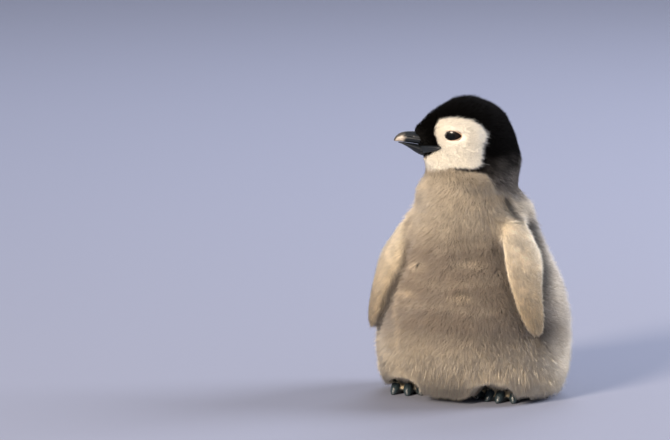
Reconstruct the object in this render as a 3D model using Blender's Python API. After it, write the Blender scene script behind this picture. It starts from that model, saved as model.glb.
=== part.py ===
# Emperor penguin chick in its grey down, standing with its head turned to its right.
# Metres, +Z up. The chick faces -Y and its left side is +X. The origin is on the floor,
# under the middle of the box round the whole bird. Outlines run out to the tips of the down.
import math

import bmesh
import bpy
from mathutils import Matrix, Vector

# Driving dimensions
GAP = 0.0003  # between pieces that touch
HEAD_TURN = math.radians(60)  # to the chick's right
HEAD_AXIS = Vector((0.003, -0.014))  # the upright line that the head turns on
EYE_LEVEL = 0.3296
BODY_SEGMENTS = 30
BILL_REACH = 0.0995  # from the head's axis to the bill's tip
EYE_PLACE = (0.0272, 0.0030)  # ahead of the head's axis, and above the eye level
EYE_LOOK = math.radians(22)  # how far each eye looks forward
EYE_RADII = (0.0126, 0.0090, 0.0116)  # along the head, through it, and up
EYE_SINK = 0.0031  # from the face's outline to the front of the eye
EYE_OPENING = (0.0144, 0.0075, 0.0064)  # along the head, through the coat, and up
FEET = {"left": Vector((0.0532, 0.002, 0.0)), "right": Vector((-0.0865, -0.003, 0.0))}
FOOT_TURNS = {"left": math.radians(4), "right": math.radians(20)}  # to the chick's left
# The arch in the down over each foot: half width, depth, height, and its middle's place inward
FOOT_OPENINGS = {"left": (0.0385, 0.084, 0.0315, 0.0010), "right": (0.0340, 0.084, 0.0310, 0.0020)}
# Toes: name, root aside and ahead of the foot's centre, heading, length, width, claw's length
TOES = (
    ("inner", -0.0100, 0.020, -12, 0.028, 0.0130, 0.0145),
    ("middle", 0.0, 0.018, 0, 0.034, 0.0135, 0.0158),
    ("outer", 0.0100, 0.020, 16, 0.028, 0.0135, 0.0150),
)
HIND_TOES = {
    "left": ("hind", -0.0280, 0.0200, -14, 0.018, 0.0085, 0.0120),
    "right": ("hind", -0.0236, 0.0110, -10, 0.016, 0.0080, 0.0100),
}
SHOULDERS = {"left": Vector((0.070, -0.040, 0.232)), "right": Vector((0.066, -0.040, 0.228))}
FLIPPER_TIPS = {"left": Vector((0.117, -0.060, 0.089)), "right": Vector((0.1205, -0.058, 0.085))}
# Each blade's outward direction, on its own side, and how far it bows outward
FLIPPER_FACES = {"left": (Vector((1.0, -0.62, 0.0)), 0.010), "right": (Vector((1.0, -1.1, 0.0)), 0.0135)}
TAIL_TIP = Vector((0.0, 0.134, 0.008))

BODY_LEAN = -0.0038  # the lower body's middle, to the chick's right of the head's
# Level sections of the body: height, half width, reach forward, reach back
TRUNK_SECTIONS = (
    (0.0030, 0.1030, 0.056, 0.076),
    (0.0090, 0.1155, 0.071, 0.092),
    (0.0240, 0.1225, 0.089, 0.102),
    (0.0620, 0.1262, 0.107, 0.110),
    (0.1000, 0.1245, 0.110, 0.114),
    (0.1400, 0.1150, 0.104, 0.107),
    (0.1800, 0.0980, 0.094, 0.084),
    (0.2200, 0.0830, 0.086, 0.062),
    (0.2420, 0.0752, 0.0830, 0.0530),
)
# Level sections of the head, about its own axis: height from the eye, half width,
# reach forward, reach back, and how much the front of the section narrows
HEAD_SECTIONS = (
    (-0.0570, 0.0630, 0.0700, 0.0570, 0.00),
    (-0.0430, 0.0570, 0.0635, 0.0590, 0.02),
    (-0.0280, 0.0500, 0.0632, 0.0610, 0.12),
    (-0.0090, 0.0470, 0.0700, 0.0560, 0.36),
    (0.0050, 0.0458, 0.0770, 0.0520, 0.46),
    (0.0150, 0.0435, 0.0715, 0.0470, 0.42),
    (0.0290, 0.0370, 0.0560, 0.0390, 0.25),
    (0.0400, 0.0270, 0.0385, 0.0250, 0.10),
    (0.0470, 0.0150, 0.0265, 0.0080, 0.00),
    (0.0505, 0.0040, 0.0150, -0.0060, 0.00),
)
NECK_CUT = 0.2767, math.radians(-10.6)  # height on the head's axis, and the rise to the nape
SHOULDER_CUT = 0.2180, math.radians(-8)

# Finishes: base colour, roughness
FINISHES = {
    "grey_down": ((0.36, 0.31, 0.26), 0.95),
    "black_down": ((0.012, 0.011, 0.011), 0.9),
    "pale_down": ((0.55, 0.46, 0.36), 0.95),
    "bill_horn": ((0.025, 0.030, 0.034), 0.35),
    "eye": ((0.010, 0.009, 0.009), 0.08),
    "foot_skin": ((0.11, 0.11, 0.10), 0.6),
    "claw_horn": ((0.020, 0.026, 0.028), 0.35),
}


def start_scene():
    for obj in list(bpy.data.objects):
        bpy.data.objects.remove(obj)
    groups = {}
    for name in ("emperor_penguin_chick", "cutters"):
        groups[name] = bpy.data.collections.new(name)
        bpy.context.scene.collection.children.link(groups[name])
    return groups["emperor_penguin_chick"], groups["cutters"]


def finish_named(name):
    material = bpy.data.materials.get(name)
    if material is None:
        material = bpy.data.materials.new(name)
        material.use_nodes = True
        shader = material.node_tree.nodes["Principled BSDF"]
        colour, roughness = FINISHES[name]
        shader.inputs["Base Color"].default_value = (*colour, 1.0)
        shader.inputs["Roughness"].default_value = roughness
    return material


def curve_through(rows, x):
    """The row of values at x, on a smooth curve through rows of (x, value, value...)."""
    last = len(rows) - 1
    x = min(max(x, rows[0][0]), rows[last][0])
    i = max(k for k in range(last) if rows[k][0] <= x)
    before, start, end, after = (rows[min(max(i + k, 0), last)] for k in (-1, 0, 1, 2))
    span = end[0] - start[0]
    t = (x - start[0]) / span
    found = []
    for a, b, c, d in zip(before, start, end, after):
        rise_in = (c - a) / max(end[0] - before[0], 1e-9) * span
        rise_out = (d - b) / max(after[0] - start[0], 1e-9) * span
        found.append(
            b * (1 + 2 * t) * (1 - t) ** 2
            + rise_in * t * (1 - t) ** 2
            + c * t * t * (3 - 2 * t)
            + rise_out * t * t * (t - 1)
        )
    return found


def loft(name, levels, segments, point_at):
    """A closed mesh from a UV sphere: ring i goes to levels[i], and its poles to the ends."""
    form = bmesh.new()
    rings = len(levels) - 1
    bmesh.ops.create_uvsphere(form, u_segments=segments, v_segments=rings, radius=1.0)
    for vertex in form.verts:
        x, y, z = vertex.co
        ring = round(math.acos(max(-1.0, min(1.0, -z))) * rings / math.pi)
        reach = 0.0 if ring in (0, rings) else 1.0
        vertex.co = point_at(levels[ring], math.atan2(y, x), reach)
    if form.calc_volume(signed=True) < 0:
        bmesh.ops.reverse_faces(form, faces=form.faces)
    mesh = bpy.data.meshes.new(name)
    form.to_mesh(mesh)
    form.free()
    return mesh


def add_piece(name, mesh, finish, group):
    obj = bpy.data.objects.new(name, mesh)
    group.objects.link(obj)
    mesh.materials.clear()
    mesh.materials.append(finish_named(finish))
    mesh.shade_smooth()
    return obj


def plain_mesh(obj):
    """The object's mesh with its modifiers applied, in world space."""
    bpy.context.view_layer.update()
    graph = bpy.context.evaluated_depsgraph_get()
    mesh = bpy.data.meshes.new_from_object(obj.evaluated_get(graph))
    mesh.transform(obj.matrix_world)
    return mesh


def seat(host, guest, cutters):
    """Makes room in host for guest, with GAP all round."""
    room = bpy.data.objects.new(f"room_for_{guest.name}_in_{host.name}", plain_mesh(guest))
    cutters.objects.link(room)
    swell = room.modifiers.new("gap", "DISPLACE")
    swell.strength = GAP
    swell.mid_level = 0.0
    cut_away(host, room)


def cut_away(host, cutter):
    cutter.hide_render = True
    cutter.display_type = "WIRE"
    cut = host.modifiers.new(cutter.name, "BOOLEAN")
    cut.operation = "DIFFERENCE"
    cut.object = cutter


def head_place(ahead, aside, up):
    """World point from the head's own directions: ahead along the bill, aside to its left."""
    forward = Vector((-math.sin(HEAD_TURN), -math.cos(HEAD_TURN)))
    left = Vector((math.cos(HEAD_TURN), -math.sin(HEAD_TURN)))
    flat = HEAD_AXIS + forward * ahead + left * aside
    return Vector((flat.x, flat.y, EYE_LEVEL + up))


def head_section(height):
    _, half, front, back, taper = curve_through(HEAD_SECTIONS, height - EYE_LEVEL)
    return half, front, back, taper


def trunk_section(height):
    _, half, front, back = curve_through(TRUNK_SECTIONS, height)
    return half, front, back, 0.0


def section_point(section, angle, turn, axis):
    half, front, back, taper = section
    ahead, aside = math.cos(angle), math.sin(angle)
    aside *= half * (1 - taper * max(ahead, 0.0) ** 1.3)
    ahead *= front if ahead > 0 else back
    x = axis.x + math.cos(turn) * aside - math.sin(turn) * ahead
    y = axis.y - math.sin(turn) * aside - math.cos(turn) * ahead
    return Vector((x, y))


def body_point(height, angle, reach):
    """A point on the whole body's outline. Between shoulders and chin it blends into the head."""
    low, high = TRUNK_SECTIONS[-1][0], EYE_LEVEL + HEAD_SECTIONS[0][0]
    axis = Vector((0.0, 0.0))
    if height <= low:
        axis.x = BODY_LEAN * (1 - (height / low) ** 2) ** 0.5
        flat = section_point(trunk_section(height), angle, 0.0, axis)
        centre = axis
    elif height >= high:
        section = head_section(height)
        flat = section_point(section, angle + HEAD_TURN, HEAD_TURN, HEAD_AXIS)
        middle = (section[1] - section[2]) / 2
        centre = section_point((0, middle, middle, 0), 0.0, HEAD_TURN, HEAD_AXIS)
    else:
        share = (height - low) / (high - low)
        share = share * share * (3 - 2 * share)
        flat = section_point(trunk_section(low), angle, 0.0, axis).lerp(
            section_point(head_section(high), angle + HEAD_TURN, HEAD_TURN, HEAD_AXIS), share
        )
        centre = axis
    flat = centre.lerp(flat, reach)
    return Vector((flat.x, flat.y, height))


def body_levels():
    """Heights of the body's rings, closer together on the head."""
    trunk = [TRUNK_SECTIONS[0][0] + 0.003 * k for k in (0.0, 0.0, 1.0, 2.4)]
    trunk += [0.018 + 0.018 * k for k in range(12)]
    bottom, top = 0.2330, EYE_LEVEL + HEAD_SECTIONS[-1][0]
    steps = 19
    head = [bottom + (top - bottom) * math.sin(math.pi / 2 * k / steps) for k in range(steps)]
    return trunk + head + [top]


def part_by_plane(mesh, height, fall, keep_above):
    """Keeps the side above or below a plane through the head's axis, closed with a flat face."""
    turn = HEAD_TURN if height > 0.25 else 0.0
    normal = Vector((-math.sin(turn) * math.sin(fall), -math.cos(turn) * math.sin(fall), 1.0))
    normal *= -1 if not keep_above else 1
    form = bmesh.new()
    form.from_mesh(mesh)
    everything = form.verts[:] + form.edges[:] + form.faces[:]
    place = Vector((HEAD_AXIS.x, HEAD_AXIS.y, height + (GAP / 2 if keep_above else -GAP / 2)))
    bmesh.ops.bisect_plane(
        form, geom=everything, plane_co=place, plane_no=-normal, clear_outer=True
    )
    bmesh.ops.holes_fill(form, edges=[edge for edge in form.edges if edge.is_boundary])
    if form.calc_volume(signed=True) < 0:
        bmesh.ops.reverse_faces(form, faces=form.faces)
    cut = mesh.copy()
    form.to_mesh(cut)
    form.free()
    return cut


def make_body(group):
    whole = loft("whole_body", body_levels(), BODY_SEGMENTS, body_point)
    neck_height, neck_fall = NECK_CUT
    base_height, base_fall = SHOULDER_CUT
    head = part_by_plane(whole, neck_height, neck_fall, True)
    below = part_by_plane(whole, neck_height, neck_fall, False)
    neck = part_by_plane(below, base_height, base_fall, True)
    trunk = part_by_plane(below, base_height, base_fall, False)
    return (
        add_piece("head", head, "black_down", group),
        add_piece("neck", neck, "grey_down", group),
        add_piece("trunk", trunk, "grey_down", group),
    )


def bill_half(name, top_rows, bottom_rows, width_rows, ridge, group):
    """Half of the bill, lofted forward from inside the face to its tip."""
    start, end = top_rows[0][0], top_rows[-1][0]
    rings = 10
    levels = [start + (end - start) * math.sin(math.pi / 2 * k / rings) for k in range(rings + 1)]
    levels.insert(0, start)

    def point(ahead, angle, reach):
        top = curve_through(top_rows, ahead)[1]
        bottom = curve_through(bottom_rows, ahead)[1]
        width = curve_through(width_rows, ahead)[1]
        up, aside = math.sin(angle), math.cos(angle)
        share = (up + 1) / 2
        narrow = share if ridge > 0 else 1 - share
        aside *= 1 - abs(ridge) * narrow**2
        middle = (top + bottom) / 2
        up = middle + reach * up * (top - bottom) / 2
        return head_place(ahead, reach * aside * width, up)

    return add_piece(name, loft(name, levels, 14, point), "bill_horn", group)


def make_bill(group):
    tip = BILL_REACH
    mouth = (
        (0.042, -0.0160),
        (0.062, -0.0125),
        (0.077, -0.0098),
        (0.088, -0.0084),
        (tip, -0.0072),
    )
    above = tuple((x, y + GAP) for x, y in mouth)
    culmen = (
        (0.042, 0.0020),
        (0.062, 0.0052),
        (0.077, 0.0056),
        (0.087, 0.0048),
        (0.095, 0.0014),
        (tip, -0.0046),
    )
    keel_end = tip - 0.0052
    keel = (
        (0.046, -0.0270),
        (0.060, -0.0268),
        (0.070, -0.0228),
        (0.080, -0.0160),
        (0.088, -0.0112),
        (keel_end, -0.0088),
    )
    below = tuple((x - 0.0001, y) for x, y in mouth[:-1]) + ((keel_end, -0.0080),)
    below = ((0.046, -0.0155),) + below[1:]
    width = (
        (0.042, 0.0150),
        (0.062, 0.0118),
        (0.077, 0.0088),
        (0.088, 0.0062),
        (0.096, 0.0032),
        (tip, 0.0010),
    )
    lower_width = (
        (0.046, 0.0130),
        (0.062, 0.0104),
        (0.077, 0.0074),
        (0.088, 0.0045),
        (keel_end, 0.0012),
    )
    upper = bill_half("bill_upper", culmen, above, width, 0.55, group)
    lower = bill_half("bill_lower", below, keel, lower_width, -0.45, group)
    return upper, lower


def face_half_width(ahead, up):
    """How far the face's outline lies from the head's middle plane, at this place."""
    half, front, _, taper = head_section(EYE_LEVEL + up)
    cosine = ahead / front
    return math.sqrt(1 - cosine**2) * half * (1 - taper * cosine**1.3)


def make_eyes(head, group, cutters):
    """Globes that look a little forward, square to the narrowing face, behind almond openings."""
    eyes = []
    along, through, tall = EYE_RADII
    for side, sign in (("left", 1), ("right", -1)):
        ahead, up = EYE_PLACE
        surface = face_half_width(ahead, up)
        turn = -HEAD_TURN - sign * EYE_LOOK
        centre = head_place(ahead, sign * (surface - EYE_SINK - through), up)
        name = f"eye_{side}"
        eyes.append(egg(name, centre, (through, along, tall), "eye", group, turn=turn))
        reach, deep, high = EYE_OPENING
        centre = head_place(ahead, sign * surface, up)
        radii = (deep, reach, high)
        opening = egg(f"opening_{side}", centre, radii, "eye", cutters, segments=16, turn=turn)
        cut_away(head, opening)
    return eyes


def flipper_point(side, sign):
    """The blade's outline: a flat, slightly bowed paddle from the shoulder to a round tip."""
    start = SHOULDERS[side]
    along = FLIPPER_TIPS[side] - start
    length = along.length
    down = along.normalized()
    facing, bowed = FLIPPER_FACES[side]
    outward = (facing - down * facing.dot(down)).normalized()
    edgeways = down.cross(outward).normalized()

    def point(share, angle, reach):
        swell = math.sin(math.pi * min(share / 0.62, 1.0) ** 0.9 / 2)
        chord = 0.0220 + 0.0045 * swell - 0.0140 * max(share - 0.45, 0.0) ** 1.3 / 0.55**1.3
        thick = 0.0088 - 0.0032 * share
        close = math.sqrt(max(1 - max((share - 0.86) / 0.14, 0.0) ** 2, 0.0))
        bow = bowed * math.sin(math.pi * share**1.15) - 0.003
        middle = start + down * length * share + outward * bow
        middle += edgeways * 0.0075 * math.sin(math.pi * share**1.4)
        side = reach * close * math.sin(angle) * thick
        across = reach * close * math.cos(angle) * chord
        across -= max(-math.cos(angle), 0.0) * 0.005 * math.exp(-(((share - 0.36) / 0.13) ** 2))
        at = middle + outward * side + edgeways * across
        return Vector((sign * at.x, at.y, at.z))

    return point


def make_flippers(group):
    flippers = []
    levels = [0.0] + [k / 13 for k in range(12)] + [0.92, 0.96, 0.985, 1.0]
    for side, sign in (("left", 1), ("right", -1)):
        mesh = loft(f"flipper_{side}", levels, 14, flipper_point(side, sign))
        flippers.append(add_piece(f"flipper_{side}", mesh, "pale_down", group))
    return flippers


def egg(name, centre, radii, finish, group, segments=14, rings=8, floor=None, turn=0.0):
    """A rounded form, flattened where it meets the floor."""
    form = bmesh.new()
    bmesh.ops.create_uvsphere(form, u_segments=segments, v_segments=rings, radius=1.0)
    bmesh.ops.scale(form, vec=radii, verts=form.verts)
    bmesh.ops.rotate(form, matrix=Matrix.Rotation(turn, 3, "Z"), verts=form.verts)
    bmesh.ops.translate(form, vec=centre, verts=form.verts)
    if floor is not None:
        for vertex in form.verts:
            vertex.co.z = max(vertex.co.z, floor)
    mesh = bpy.data.meshes.new(name)
    form.to_mesh(mesh)
    form.free()
    return add_piece(name, mesh, finish, group)


def make_leg(side, sign, trunk, group, cutters):
    """The down-covered shank over the foot, in an arched opening in the belly's hem."""
    turn = FOOT_TURNS[side]
    ahead = Vector((math.sin(turn), -math.cos(turn), 0.0))
    *radii, inward = FOOT_OPENINGS[side]
    centre = FEET[side] + ahead * 0.043 + Vector((ahead.y, -ahead.x, 0.0)) * sign * inward
    cut_away(trunk, egg(f"hem_{side}", centre, radii, "grey_down", cutters, turn=turn))
    centre = FEET[side] + ahead * 0.027 + Vector((0.0, 0.0, 0.040))
    leg = egg(f"leg_{side}", centre, (0.031, 0.043, 0.0255), "grey_down", group, turn=turn)
    seat(trunk, leg, cutters)
    return leg


def make_tail(group):
    """A short cone of down behind, resting on the floor."""
    root = Vector((0.0, 0.070, 0.034))
    levels = [0.0, 0.0] + [0.16 * k for k in range(1, 6)] + [0.92, 0.98, 1.0]

    def point(share, angle, reach):
        middle = root.lerp(TAIL_TIP, share)
        close = math.sqrt(max(1 - share**2.2, 0.0))
        across = reach * close * 0.040 * math.cos(angle)
        up = reach * (close * 0.024 + 0.003 * (share < 1)) * math.sin(angle)
        return Vector((middle.x + across, middle.y, max(middle.z + up, 0.0)))

    return add_piece("tail", loft("tail", levels, 16, point), "grey_down", group)


def along_floor(start, heading, length):
    """Maps a share of the length, and offsets aside and up, to a point over the floor."""
    ahead = Vector((math.sin(heading), -math.cos(heading), 0.0))
    aside = Vector((math.cos(heading), math.sin(heading), 0.0))

    def place(share, across, up):
        at = start + ahead * length * share + aside * across
        return Vector((at.x, at.y, max(up, 0.0)))

    return place


def toe(name, start, heading, size, group):
    """A blunt toe with swollen joints, flat underneath."""
    length, width, height = size
    place = along_floor(start, heading, length)
    levels = [0.0] + [k / 4 for k in range(4)] + [0.90, 0.98, 1.0]

    def point(share, angle, reach):
        close = math.sqrt(max(1 - max((share - 0.78) / 0.22, 0.0) ** 2, 0.0))
        close *= 1 + 0.06 * math.sin(share * 3 * math.pi)
        across = reach * close * width / 2 * math.cos(angle)
        tall = height * (1.32 - 0.32 * min(share / 0.7, 1.0))
        middle = tall * (0.42 - 0.10 * share)
        up = middle + reach * close * tall * 0.58 * math.sin(angle)
        return place(share, across, up)

    return add_piece(name, loft(name, levels, 8, point), "foot_skin", group)


def claw(name, start, heading, size, group):
    """A blunt claw that curves down to the floor at its tip."""
    length, width, height = size
    place = along_floor(start, heading, length)
    levels = [0.0] + [k / 5 for k in range(5)] + [0.94, 1.0]

    def point(share, angle, reach):
        close = math.sqrt(1 - share**2.6)
        across = reach * close * width / 2 * math.cos(angle)
        middle = height * (0.46 * (1 - share**2.4) + 0.04)
        up = middle + reach * close * height * 0.46 * math.sin(angle)
        return place(share, across, up)

    return add_piece(name, loft(name, levels, 8, point), "claw_horn", group)


def make_foot(side, sign, group):
    """The pad with its webs, three front toes and a small inner hind toe, and their claws."""
    pad_height, toe_height = 0.0190, 0.0200
    centre = FEET[side]
    turn = FOOT_TURNS[side]
    ahead = Vector((math.sin(turn), -math.cos(turn), 0.0))
    pieces = {"claws": [], "toes": []}
    pieces["pad"] = egg(
        f"foot_{side}",
        centre + ahead * 0.008 + Vector((0.0, 0.0, pad_height * 0.35)),
        (0.0240, 0.0300, pad_height * 0.65),
        "foot_skin",
        group,
        segments=13,
        floor=0.0,
        turn=turn,
    )
    aside = Vector((ahead.y, -ahead.x, 0.0)) * -sign
    for name, root_aside, root_ahead, spread, length, width, claw_length in (*TOES, HIND_TOES[side]):
        heading = turn + sign * math.radians(spread)
        toe_ahead = Vector((math.sin(heading), -math.cos(heading), 0.0))
        root = centre + ahead * root_ahead + aside * root_aside
        height = toe_height * min(width / 0.0130, 1.0)
        pieces["toes"].append(
            toe(f"toe_{side}_{name}", root, heading, (length, width, height), group)
        )
        root = root + toe_ahead * (length - 0.65 * width)
        pieces["claws"].append(
            claw(f"claw_{side}_{name}", root, heading, (claw_length, width * 0.94, height * 0.88), group)
        )
    return pieces


def seat_foot(leg, foot, cutters):
    """Claws and pad keep their form, and the toes and the shank make room for them."""
    inner, middle, outer, hind = foot["toes"]
    for guest in (foot["pad"], inner, middle, outer, hind):
        seat(leg, guest, cutters)
    seat(hind, inner, cutters)
    seat(inner, middle, cutters)
    seat(outer, middle, cutters)
    for toe_piece, claw_piece in zip(foot["toes"], foot["claws"]):
        seat(toe_piece, foot["pad"], cutters)
        seat(toe_piece, claw_piece, cutters)


def centre_on_floor(group):
    """Moves everything so that the middle of the box round it is over the origin."""
    bpy.context.view_layer.update()
    corners = [obj.matrix_world @ vertex.co for obj in group.objects for vertex in obj.data.vertices]
    low = Vector(min(corner[axis] for corner in corners) for axis in range(3))
    high = Vector(max(corner[axis] for corner in corners) for axis in range(3))
    shift = Vector((-(low.x + high.x) / 2, -(low.y + high.y) / 2, 0.0))
    print("shift to the box's middle:", [round(value, 5) for value in shift])
    for obj in bpy.data.objects:
        obj.matrix_world = Matrix.Translation(shift) @ obj.matrix_world


def main():
    group, cutters = start_scene()
    head, neck, trunk = make_body(group)
    for guest in (*make_bill(group), *make_eyes(head, group, cutters)):
        seat(head, guest, cutters)
    for flipper in make_flippers(group):
        seat(flipper, trunk, cutters)
        seat(flipper, neck, cutters)
    seat(make_tail(group), trunk, cutters)
    for side, sign in (("left", 1), ("right", -1)):
        leg = make_leg(side, sign, trunk, group, cutters)
        seat_foot(leg, make_foot(side, sign, group), cutters)
    centre_on_floor(group)


main()
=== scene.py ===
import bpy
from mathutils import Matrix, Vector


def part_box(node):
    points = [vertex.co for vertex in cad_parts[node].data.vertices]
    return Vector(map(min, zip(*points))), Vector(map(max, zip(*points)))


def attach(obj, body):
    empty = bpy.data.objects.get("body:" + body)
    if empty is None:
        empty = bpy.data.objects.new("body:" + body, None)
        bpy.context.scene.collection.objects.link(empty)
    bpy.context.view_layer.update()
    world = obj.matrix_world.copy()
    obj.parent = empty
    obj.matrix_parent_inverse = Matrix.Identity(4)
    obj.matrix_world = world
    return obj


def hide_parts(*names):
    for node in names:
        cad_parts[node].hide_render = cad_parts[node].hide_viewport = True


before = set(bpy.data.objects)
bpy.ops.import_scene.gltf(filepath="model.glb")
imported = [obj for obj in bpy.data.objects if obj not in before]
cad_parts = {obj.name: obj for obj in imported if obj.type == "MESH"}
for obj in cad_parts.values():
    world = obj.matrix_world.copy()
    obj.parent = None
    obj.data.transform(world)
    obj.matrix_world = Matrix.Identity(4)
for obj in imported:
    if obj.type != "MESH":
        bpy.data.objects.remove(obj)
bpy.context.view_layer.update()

import math

import bmesh
import bpy
import numpy as np
from mathutils import Matrix, Vector
from mathutils.bvhtree import BVHTree
from mathutils.kdtree import KDTree

mm = 0.001
scene = bpy.context.scene
sides = (("Left", "left", 1), ("Right", "right", -1))


def linear(hexColour):  # sRGB hex to linear
    parts = [int(hexColour[k : k + 2], 16) / 255 for k in (0, 2, 4)]
    return (*[c / 12.92 if c <= 0.04045 else ((c + 0.055) / 1.055) ** 2.4 for c in parts], 1.0)


def setSockets(node, inputs):  # to numbers, hex colours, sockets or nodes
    for name, value in inputs.items():
        if isinstance(value, bpy.types.Node):  # means its first live output
            value = [socket for socket in value.outputs if socket.enabled][0]
        if isinstance(value, bpy.types.NodeSocket):
            node.id_data.links.new(value, node.inputs[name])
        else:
            node.inputs[name].default_value = linear(value) if isinstance(value, str) else value


def addNode(tree, kind, inputs=None, **settings):
    node = tree.nodes.new("ShaderNode" + kind)
    for name, value in settings.items():
        setattr(node, name, value)
    setSockets(node, inputs or {})
    return node


def newMaterial(name):
    material = bpy.data.materials.new(name)
    material.use_nodes = True
    tree = material.node_tree
    return material, tree, tree.nodes["Principled BSDF"], addNode(tree, "TexCoord").outputs["Object"]


def smoothStep(low, high, x):
    t = np.clip((x - low) / (high - low), 0, 1)
    return t * t * (3 - 2 * t)


def falloff(distance, reach, power=2):  # a third at the reach
    return np.exp(-((distance / reach) ** power))


def unit(vectors):
    return vectors / np.maximum(np.linalg.norm(vectors, axis=-1, keepdims=True), 1e-12)


def cloud(points, size, seed):  # smooth noise from -1 to 1, in lumps of this size
    lattice = np.random.default_rng(seed).uniform(-1, 1, (24, 24, 24))
    q = points / size + 1000.0
    cell = np.floor(q).astype(int)
    t = q - cell
    t = t * t * (3 - 2 * t)
    total = np.zeros(len(points))
    for corner in np.ndindex(2, 2, 2):
        share = np.prod(np.where(corner, t, 1 - t), axis=1)
        i, j, k = ((cell + corner) % 24).T
        total += share * lattice[i, j, k]
    return total


def newObject(name, data):
    obj = bpy.data.objects.new(name, data)
    scene.collection.objects.link(obj)
    return obj


def meshOf(form, name):
    mesh = bpy.data.meshes.new(name)
    form.to_mesh(mesh)
    form.free()
    mesh.polygons.foreach_set("use_smooth", np.ones(len(mesh.polygons), bool))
    return mesh


def setAttribute(mesh, name, values):
    kind, field = ("FLOAT", "value") if values.ndim == 1 else ("FLOAT_COLOR", "color")
    mesh.attributes.new(name, kind, "POINT").data.foreach_set(field, values.ravel())


def addPiece(name, mesh, finishes, nodes=()):
    for finish in finishes:
        mesh.materials.append(finish)
    obj = newObject(name, mesh)
    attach(obj, "root")
    if nodes:
        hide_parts(*nodes)


# Camera, lights and floor
camera = {
    "azimuth": math.radians(27),
    "elevation": math.radians(8),
    "distance": 7.03,
    "lens": 300.0,
    "middle": Vector((0.00363, -0.01219, 0.0)),  # of the chick, on the floor
    "aside": -0.1763,  # the aim, to the right of that and above it
    "above": 0.2182,
}
lampAim = Vector((0.0, 0.0, 0.18))
lamps = {  # degrees to the camera's left and up, distance, size, watts, colour
    "keyLamp": (35, 27, 8.0, 1.9, 1030, "ffebd4"),
    "skyLamp": (-105, 32, 5.0, 3.0, 400, "e8e8f0"),
    "backLamp": (190, 45, 5.0, 3.0, 150, "dfe4f6"),
}


def standOff(name, data, spot, towards, away):  # looking back at a spot
    obj = newObject(name, data)
    obj.location = spot + towards * away
    obj.rotation_mode = "QUATERNION"
    obj.rotation_quaternion = (-towards).to_track_quat("-Z", "Y")
    return obj


turn, rise = camera["azimuth"], camera["elevation"]
towards = Vector((math.sin(turn) * math.cos(rise), -math.cos(turn) * math.cos(rise), math.sin(rise)))
right = Vector((math.cos(turn), math.sin(turn), 0.0))
aim = camera["middle"] + right * camera["aside"] + towards.cross(right) * camera["above"]
view = bpy.data.cameras.new("camera")
view.lens, view.sensor_width, view.clip_end = camera["lens"], 36.0, 100.0
scene.camera = standOff("camera", view, aim, towards, camera["distance"])
scene.view_settings.view_transform = "Standard"
for name, (heading, height, away, size, power, colour) in lamps.items():
    light = bpy.data.lights.new(name, "AREA")
    light.shape, light.size, light.energy, light.color = "DISK", size, power, linear(colour)[:3]
    angle, tilt = turn - math.radians(heading), math.radians(height)
    flat = Vector((math.sin(angle), -math.cos(angle), 0.0))
    standOff(name, light, lampAim, flat * math.cos(tilt) + Vector((0, 0, math.sin(tilt))), away)

scene.world = bpy.data.worlds.new("world")
scene.world.use_nodes = True
setSockets(scene.world.node_tree.nodes["Background"], {"Color": "d6dbee", "Strength": 0.66})

form = bmesh.new()
bmesh.ops.create_circle(form, cap_ends=True, segments=96, radius=40.0)
floor = newObject("floor", meshOf(form, "floor"))
floorPaint, _, shader, _ = newMaterial("matte studio floor paint")
setSockets(shader, {"Base Color": "7e8290", "Roughness": 0.9, "Specular IOR Level": 0.1})
floor.data.materials.append(floorPaint)
print("camera, lights and floor done")

# Where things are on the chick
headTurn = math.radians(60)  # to the chick's right
headMiddle = np.array([0.00663, -0.02619, 0.3296])  # on the head's axis, level with the eyes
headAhead = np.array([-math.sin(headTurn), -math.cos(headTurn), 0.0])
headAside = np.array([math.cos(headTurn), -math.sin(headTurn), 0.0])  # towards the chick's left


def onHead(points):  # ahead of the head's axis, to its left, and above the eyes
    q = points - headMiddle
    return q @ headAhead, q @ headAside, q[:, 2]


def roundBody(points):  # angle round the body, 0 in front
    return np.arctan2(points[:, 0], -points[:, 1])


# The white face in profile: angle round its middle, and reach from there in millimetres
face = {
    "middle": (0.020, -0.004),
    "back": -0.03,  # no white behind this
    "edge": 0.0010,  # its soft edge
    "throat": (-0.0348, 0.032, 0.22),  # its level, where it starts to slope, how much
    "angles": (0, 34, 45, 60, 81, 103, 126, 144, 158, 166, 183, 198, 216, 223, 233, 249, 270)
    + (292, 304, 314, 321, 328, 334, 337, 341, 355, 360),
    "reach": (29.5, 37, 38, 34.5, 31.5, 30.5, 32.5, 34.3, 37, 36, 31.2, 30, 34, 38.5, 37, 33.1, 30.7)
    + (36, 47, 56, 56, 51, 43, 36, 26.8, 28.5, 29.5),
}
# The black hood's lower edge: angle round the head from dead ahead, and height in millimetres
hood = {
    "angles": (0, 25, 40, 52, 61, 75, 92, 104, 110, 116, 135, 143, 180),
    "heights": (-27, -25, -22, -30, -36.6, -37.6, -38.5, -41, -50, -58, -66, -72, -78),
    "behind": (88, 125),  # where its edge turns soft and ragged
    "soft": ((0.0012, 0.0090), (0.0012, 0.0050)),  # below and above: the edge, and more behind
    "nape": (-0.065, -0.016, 0.52),  # grizzled between these heights, how much; partly painted sheen on the hair tips
}
body = {
    "belly": (0.186, 0.224),  # darker grey between these heights
    "bellySides": (1.55, 1.15),
    "bellyFoot": (0.080, 0.020),
    "flanks": (1.15, 1.90, 0.32),  # cooler grey from these angles, off this one
    "creases": (0.2015, 0.158, 0.127),
    "shoulders": ((0.076, -0.034, 0.236), (-0.066, -0.034, 0.232)),
    "shoulderPale": (0.021, 0.009, 0.30),  # pale between these reaches, how much
    "flippersTop": ((0.0736, -0.0523, 0.232), (-0.0624, -0.0523, 0.228)),
}


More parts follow.
